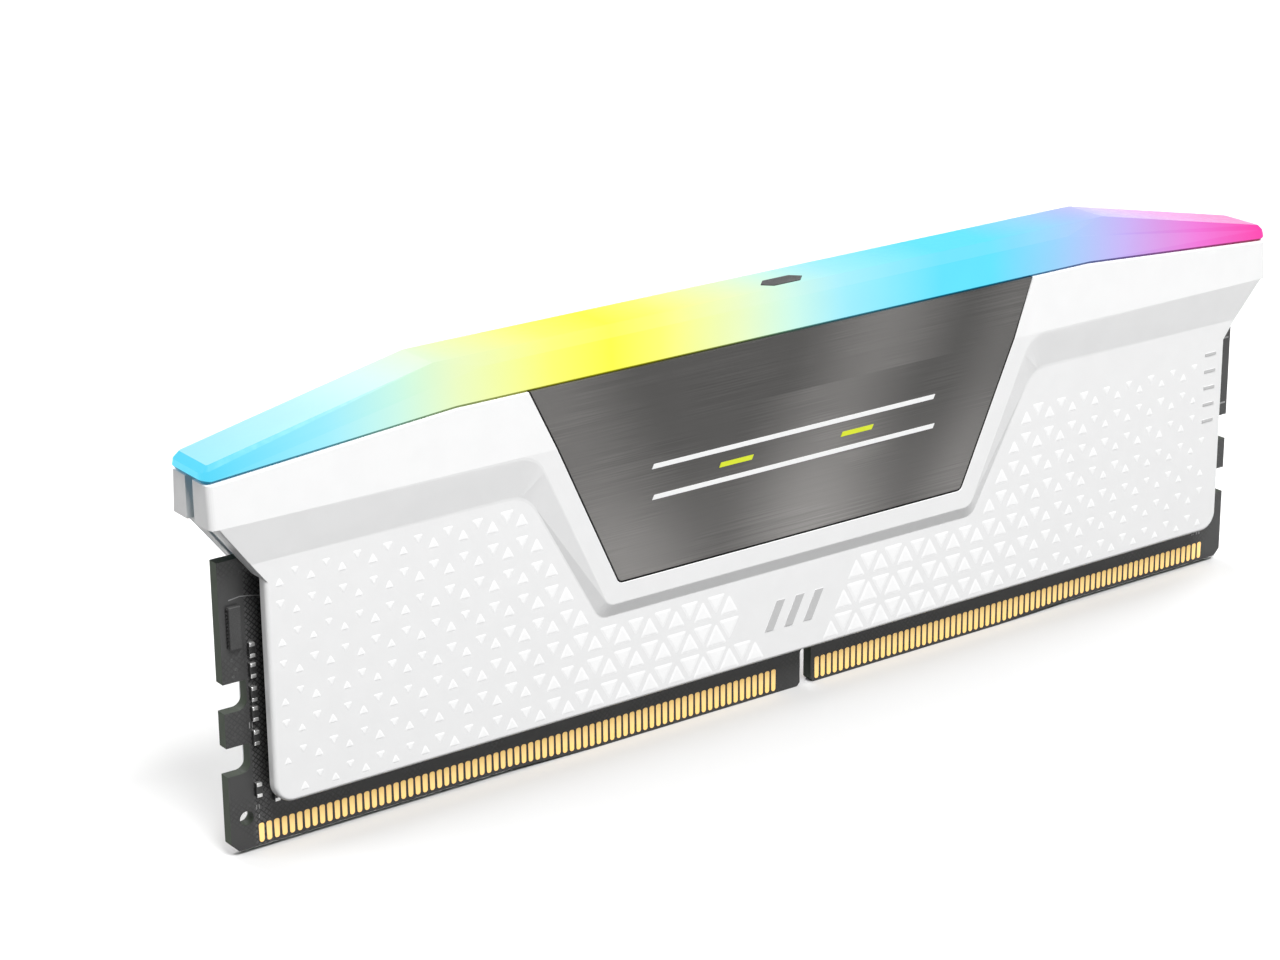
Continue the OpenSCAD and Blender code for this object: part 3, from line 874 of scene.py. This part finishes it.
def light_bar():
    """The lit bar: level along its middle, falling to its ends, with a crease along each side."""
    shape = Shape()
    end_x, side_y, top_z = BAR_HIGH
    low_z = TOP_Z + BAR_GAP
    # Lower edge, crease and top: the corner where each starts to fall, its far end, and its rounding there
    lines = (
        ((TOP_FLAT_X, side_y, low_z), (end_x, END_TOP_Z + BAR_GAP), 0.9),
        ((38.0, side_y - 0.2, top_z - 1.3), (end_x - 0.05, END_TOP_Z + 1.2), 0.9),
        ((43.5, side_y - 0.6, top_z), (end_x - 0.8, top_z - 5.1), 0.2),
    )
    right = [bar_ring(0.0, *[line[0] for line in lines])]
    for step in range(7):
        turn = math.pi / 2 * step / 6
        section = []
        for (flat_x, y, z), (far_x, far_z), radius in lines:
            x = far_x - radius * (1 - math.sin(turn))
            fall = (z - far_z) / (far_x - flat_x)
            section.append((x, y - radius * (1 - math.cos(turn)), z - fall * (x - flat_x)))
        right.append(bar_ring(turn, *section))
    rings = [[(-x, y, z) for x, y, z in ring] for ring in reversed(right)] + right
    for ring_a, ring_b in zip(rings, rings[1:]):
        for i in range(8):
            j = (i + 1) % 8
            shape.face([ring_a[i], ring_b[i], ring_b[j]])
            shape.face([ring_a[i], ring_b[j], ring_a[j]])
    for ring in (rings[0], rings[-1]):
        for i in range(3):
            shape.face([ring[i], ring[i + 1], ring[6 - i], ring[7 - i]])
    guide_low, guide_high = box_mm("light_guide")
    tongue_high = Vector((guide_high.x, 0, low_z - 0.02))
    tongue = rounded_rectangle(Vector((guide_low.x, 0, BAR_LOW.z)), tongue_high, 0.2)
    shape.stack([at(tongue, guide_high.y), at(tongue, guide_low.y)])
    shape.build("diffuser", (LIT_DIFFUSER,), "light_bar")


# Contacts, chips and small parts


def contact_row(name, node, facing):
    """Rounded pads, each with a broken edge, narrowing a little at the board's lower edge."""
    shape = Shape()
    taper_h = 0.35
    for low, high in islands(node):
        middle = (low.x + high.x) / 2
        taper = []
        for x, z in rounded_rectangle(low, high, (high.x - low.x) * 0.36, 4):
            taper.append((middle + (x - middle) * (0.78 + 0.22 * min((z - low.z) / taper_h, 1)), z))
        small = inset_loop(taper, [0.03] * len(taper))
        back, front = back_and_front(low, high, facing)
        shape.stack([at(taper, back), at(taper, back + (front - back) * 0.4), at(small, front)])
    shape.build(name, (CONTACT_GOLD,), node)


def memory_chips():
    """Black moulded packages with broken edges, and a paler field and a round mark frosted on each face."""
    shape = Shape()
    frost = 0.01
    margin = Vector((1, 0, 3.2))
    for low, high in islands("memory_chips"):
        block(shape, low, high, 0.15, 0.08)
        field = rounded_rectangle(low + margin, high - margin, 0.4)
        for loop in (field, circle(low.x + 0.9, high.z - 0.9, 0.3)):
            shape.stack([at(loop, -low.y - frost), at(loop, -low.y + frost)], 1)
    shape.build("memory_packages", (CHIP_BLACK, CHIP_FROST), "memory_chips")


def leaded_chip(name, node, pins, on_ends, facing=1, finish=()):
    """A small chip with a row of tinned pads along its two ends, or along its upper and lower edges."""
    shape = Shape()
    low, high = islands(node)[0]
    pin = 0.12
    lap = 0.05
    inset = Vector((pin, 0, 0)) if on_ends else Vector((0, 0, pin))
    body_low = low + inset
    body_high = high - inset
    block(shape, body_low, body_high, 0.06, 0.06, facing=facing)
    board_y = high.y if facing > 0 else low.y
    near, far = sorted((board_y, board_y - facing * 0.22))
    across, along = (0, 2) if on_ends else (2, 0)
    pitch = (body_high[along] - body_low[along]) / pins
    for i in range(pins):
        centre = body_low[along] + (i + 0.5) * pitch
        for start in (body_low[across] - pin, body_high[across] - lap):
            pad_low = Vector((0, near, 0))
            pad_high = Vector((0, far, 0))
            pad_low[across] = start
            pad_high[across] = start + pin + lap
            pad_low[along] = centre - pitch * 0.27
            pad_high[along] = centre + pitch * 0.27
            block(shape, pad_low, pad_high, 0.02, 0.02, 1, facing)
    shape.build(name, finish or (CHIP_BLACK, TINNED), node)


def two_ended(name, node, body_material, cap, narrow=0.0, extras=()):
    """Chip resistors or capacitors: a small body between two tinned end caps, along its longer way.
    The caps can be narrower than the part, by an amount at each side."""
    shape = Shape()
    for low, high in islands(node) + list(extras):
        upright = high.z - low.z > high.x - low.x
        inset = Vector((0.03, 0.03, 0.08)) if upright else Vector((0.08, 0.03, 0.03))
        side = Vector((narrow, 0, 0)) if upright else Vector((0, 0, narrow))
        block(shape, low + inset, high - inset * Vector((1, 0, 1)), 0.03, 0.03)
        reach = Vector((0, 0, high.z - low.z - cap)) if upright else Vector((high.x - low.x - cap, 0, 0))
        for cap_low, cap_high in ((low, high - reach), (low + reach, high)):
            block(shape, cap_low + side, cap_high - side, 0.06, 0.05, 1)
    shape.build(name, (body_material, TINNED), node)


def power_inductors():
    """Pressed powder coils with a chamfered face and a tinned foot at each end."""
    shape = Shape()
    for low, high in islands("power_inductors"):
        block(shape, low, high - Vector((0, 0.1, 0)), 0.3, 0.15)
        for x_low, x_high in ((low.x + 0.05, low.x + 0.75), (high.x - 0.75, high.x - 0.05)):
            foot_low = Vector((x_low, high.y - 0.14, low.z + 0.15))
            block(shape, foot_low, Vector((x_high, high.y, high.z - 0.15)), 0.05, 0.02, 1)
    shape.build("coils", (COIL_GREY, TINNED), "power_inductors")


def light_emitters():
    """White packages, each with a round yellow lens set in its face and two tinned feet."""
    shape = Shape()
    for low, high in islands("light_emitters"):
        block(shape, low + Vector((0.06, 0.03, 0)), high - Vector((0.06, 0, 0)), 0.08, 0.05)
        middle = (low + high) / 2
        lens = ((0.48, 0.05), (0.48, 0.015), (0.36, 0.0))
        shape.stack([at(circle(middle.x, middle.z, radius, 20), -low.y - sunk) for radius, sunk in lens], 1)
        for x_low, x_high in ((low.x, low.x + 0.3), (high.x - 0.3, high.x)):
            foot_low = Vector((x_low, high.y - 0.2, low.z + 0.2))
            block(shape, foot_low, Vector((x_high, high.y, high.z - 0.2)), 0.04, 0.03, 2)
    shape.build("emitters", (EMITTER_WHITE, EMITTER_LENS, TINNED), "light_emitters")


def soft_pad(name, node):
    """A squeezed silicone pad: its edges bulge out between the two faces that press it."""
    shape = Shape()
    for low, high in islands(node):
        loop = rounded_rectangle(low, high, 0.5, 4)
        rings = []
        for step in range(7):
            swell = math.sin(math.pi * step / 6)
            inset = inset_loop(loop, [0.18 * (1 - swell)] * len(loop))
            rings.append(at(inset, -high.y + (high.y - low.y) * step / 6))
        shape.stack(rings)
    shape.build(name, (PAD_GREY,), node)


def clear_strip():
    """The clear strip between the emitters and the bar, with chamfered edges."""
    shape = Shape()
    low, high = box_mm("light_guide")
    loop = rounded_rectangle(low, high, 0.5)
    small = inset_loop(loop, [0.2] * len(loop))
    shape.stack([at(small, -high.y), at(loop, -high.y + 0.2), at(loop, -low.y - 0.2), at(small, -low.y)])
    shape.build("clear_strip", (CLEAR_ACRYLIC,), "light_guide")


def board_legend():
    """Fine printed lines beside the spreader's ends and by the contacts, and tinned rings round the vias."""
    shape = Shape()
    face = -BOARD_LOW.y
    fine, bold = 0.05, 0.1
    strokes = (
        (-65.6, 26.0, -64.4, 26.15), (-64.4, 26.15, -63.3, 26.0), (-63.3, 26.0, -62.2, 25.75),
        (65.0, 27.05, 66.4, 27.05), (65.0, 19.1, 66.4, 19.1), (-64.05, 12.5, -64.05, 13.1),
        (-63.75, 12.5, -63.75, 13.1), (-63.75, 3.85, -63.75, 4.35), (-63.45, 3.85, -63.45, 4.35),
        (-63.5, 2.9, -63.5, 3.3), (61.9, 3.5, 62.4, 3.5), (62.8, 3.35, 62.8, 3.65), (63.2, 3.35, 63.2, 3.65),
    )
    for x_start, z_start, x_end, z_end in strokes:
        start, end = Vector((x_start, z_start)), Vector((x_end, z_end))
        along = (end - start).normalized()
        across = Vector((-along.y, along.x)) * (fine if x_start < 0 else bold)
        loop = [(x, ENDS_Z + z) for x, z in (start - across, end - across, end + across, start + across)]
        shape.stack([at(loop, face), at(loop, face + 0.015)])
    vias = (
        (-65.8, 23.9), (-64.2, 28.6), (-63.5, 27.55), (-62.55, 27.5), (-65.6, 19.9), (-65.2, 18.9),
        (-65.5, 18.2), (-62.5, 9.5), (-62.2, 8.2), (65.6, 6.3), (65.2, 5.1), (-2.5, 3.6), (-6.5, 4.3),
        (9.0, 3.9),
    )
    via = ((0.17, 0.0), (0.17, 0.012), (0.11, 0.02), (0.06, 0.005))
    for x, z in vias:
        shape.stack([at(circle(x, ENDS_Z + z, radius), face + rise) for radius, rise in via], 1)
    shape.build("board_legend", (LEGEND_INK, VIA_RING))


# Floor, lights and camera, in metres, degrees and watts

AIM = Vector((0, 0, 0.0205))
FLOOR_HALF = 9


def direction(azimuth, elevation):
    """The way from the module to a light or the camera. Azimuth 0 is in front of it and -90 at its left."""
    turn = math.radians(azimuth)
    rise = math.radians(elevation)
    return Vector((math.sin(turn) * math.cos(rise), -math.cos(turn) * math.cos(rise), math.sin(rise)))


def area_light(name, azimuth, elevation, distance, size, power):
    """A soft light aimed at the module."""
    data = bpy.data.lights.new(name, "AREA")
    data.shape = "RECTANGLE"
    data.size, data.size_y = size
    data.energy = power
    light = placed(name, data)
    away = direction(azimuth, elevation)
    light.location = AIM + away * distance
    light.rotation_euler = away.to_track_quat("Z", "Y").to_euler()


def studio():
    """A pale floor, a dim even room, a high front key, and soft fills from the sides and the rear."""
    mesh = bpy.data.meshes.new("floor")
    corners = [(x * FLOOR_HALF, y * FLOOR_HALF, 0) for x, y in ((-1, -1), (1, -1), (1, 1), (-1, 1))]
    mesh.from_pydata(corners, [], [(0, 1, 2, 3)])
    mesh.materials.append(pale_floor())
    floor = placed("floor", mesh)
    floor.visible_diffuse = False
    world = bpy.data.worlds.new("room")
    bpy.context.scene.world = world
    world.use_nodes = True
    background = world.node_tree.nodes["Background"]
    background.inputs["Color"].default_value = (0.98, 0.99, 1.0, 1)
    background.inputs["Strength"].default_value = 0.17
    area_light("key", 0, 56, 1.1, (0.6, 0.45), 19.4)
    area_light("left_fill", -112, 45, 1.0, (0.5, 0.5), 4.2)
    area_light("right_fill", 112, 45, 1.0, (0.5, 0.5), 4)
    area_light("rear_fill", 180, 50, 1.1, (0.6, 0.5), 9)
    bpy.context.scene.view_settings.view_transform = "Standard"


def camera():
    """A long lens from the front left, a little above the module."""
    data = bpy.data.cameras.new("camera")
    data.sensor_width = 36
    data.lens = 92.2
    view = placed("camera", data)
    back = direction(-35.68, 19.7)
    roll = math.radians(-0.55)
    right = Vector((0, 0, 1)).cross(back).normalized()
    up = back.cross(right)
    rolled_right = right * math.cos(roll) + up * math.sin(roll)
    rolled_up = up * math.cos(roll) - right * math.sin(roll)
    turn = Matrix((rolled_right, rolled_up, back)).transposed()
    view.matrix_world = Matrix.Translation((-0.2011, -0.2559, 0.1407)) @ turn.to_4x4()
    bpy.context.scene.camera = view


camera()
studio()

WHITE_PAINT = paint("white_paint", 0.84, 0.855, 0.42, 0.08)
WHITE_FACET = paint("white_facet", 0.95, 0.97, 0.36, 0.08)
# Painted shade: near black on the pocket's walls and floor, standing in for the shade in the gap round the
# plate
POCKET_PAINTED_SHADE = speckled("pocket_painted_shade", tone(0.02), tone(0.04), 0.6, 4.0)
BRUSHED_PLATE = brushed_plate()
LIT_DIFFUSER = lit_diffuser()
CONTACT_GOLD = contact_gold()
CHIP_BLACK = speckled("chip_black", tone(0.014), tone(0.030), 0.5, 7.0, 0.4)
CHIP_FROST = speckled("chip_frost", tone(0.040), tone(0.060), 0.65, 9.0, 0.4)
TINNED = speckled("tinned", tone(0.62), tone(0.82, (1.0, 0.99, 0.97)), 0.3, 5.0, 0.3, 0.85)
RESISTOR_BLACK = speckled("resistor_black", tone(0.02), tone(0.035), 0.35, 8.0)
CAPACITOR_TAN = speckled("capacitor_tan", (0.30, 0.20, 0.12), (0.40, 0.29, 0.18), 0.45, 8.0)
COIL_GREY = speckled("coil_grey", tone(0.10), tone(0.16), 0.6, 5.0, 0.5, 0.2)
EMITTER_WHITE = speckled("emitter_white", tone(0.78), tone(0.86), 0.5, 6.0)
EMITTER_LENS = speckled("emitter_lens", (0.80, 0.66, 0.12), (0.90, 0.78, 0.22), 0.3, 4.0)
PAD_GREY = speckled("pad_grey", (0.22, 0.25, 0.29), (0.34, 0.37, 0.41), 0.75, 4.0, 0.5)
GLUE_FILM = speckled("glue_film", tone(0.50, (1.0, 0.98, 0.9)), tone(0.62, (1.0, 0.98, 0.9)), 0.4, 1.2, 0.4)
BADGE_DARK = speckled("badge_dark", tone(0.035), tone(0.06), 0.4, 9.0, 0.3)
MARK_WHITE = ink("mark_white", tone(0.90))
MARK_YELLOW = ink("mark_yellow", (0.70, 0.78, 0.03))
MARK_GREY = ink("mark_grey", tone(0.55))
LEGEND_INK = ink("legend_ink", tone(0.28))
# Painted shade: near-black pads standing in for the shade in the gap at the side package's edges, in place
# of bright tin
PIN_PAINTED_SHADE = speckled("pin_painted_shade", tone(0.025), tone(0.06), 0.45, 6.0, 0.3, 0.3)
VIA_RING = speckled("via_ring", tone(0.05), tone(0.11), 0.4, 6.0, 0.3, 0.3)
CLEAR_ACRYLIC = clear_acrylic()

for side, turned in (("front", False), ("rear", True)):
    spreader(f"{side}_shell", f"{side}_spreader", turned)
    plate(f"{side}_brushed_plate", f"{side}_plate", turned)
    contact_row(f"{side}_pads", f"{side}_contacts", -1 if turned else 1)

light_bar()
memory_chips()
leaded_chip("power_package", "power_chip", 8, True)
leaded_chip("hub_package", "hub_chip", 5, False)
# Its pads take the painted shade of the pin material instead of tin
leaded_chip("side_package", "side_chip", 11, True, finish=(CHIP_FROST, PIN_PAINTED_SHADE))
leaded_chip("light_controller_package", "light_controller", 8, True, -1)
power_inductors()
light_emitters()
two_ended("ceramic_capacitors", "capacitors", CAPACITOR_TAN, 0.25)
# The resistor that peeps out under the spreader's lower left corner
CORNER_PART = (Vector((-61.95, -1.085, ENDS_Z + 4.3)), Vector((-61.2, BOARD_LOW.y, ENDS_Z + 5.85)))
two_ended("chip_resistors", "edge_resistors", RESISTOR_BLACK, 0.42, 0.08, [CORNER_PART])
soft_pad("memory_silicone", "memory_pads")
soft_pad("power_silicone", "power_pad")
soft_pad("rear_silicone", "rear_pad")
clear_strip()
board_legend()

# CAD nodes shown as they are, and their materials
CARRIED = {
    "circuit_board": solder_mask(), "front_plate_glue": GLUE_FILM, "rear_plate_glue": GLUE_FILM,
    "front_stripes": MARK_WHITE, "rear_stripes": MARK_WHITE, "front_dashes": MARK_YELLOW,
    "rear_dashes": MARK_YELLOW, "front_print": MARK_GREY, "rear_print": MARK_GREY, "bar_badge": BADGE_DARK,
}
for node, material in CARRIED.items():
    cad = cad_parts[node]
    cad.data.materials.clear()
    cad.data.materials.append(material)
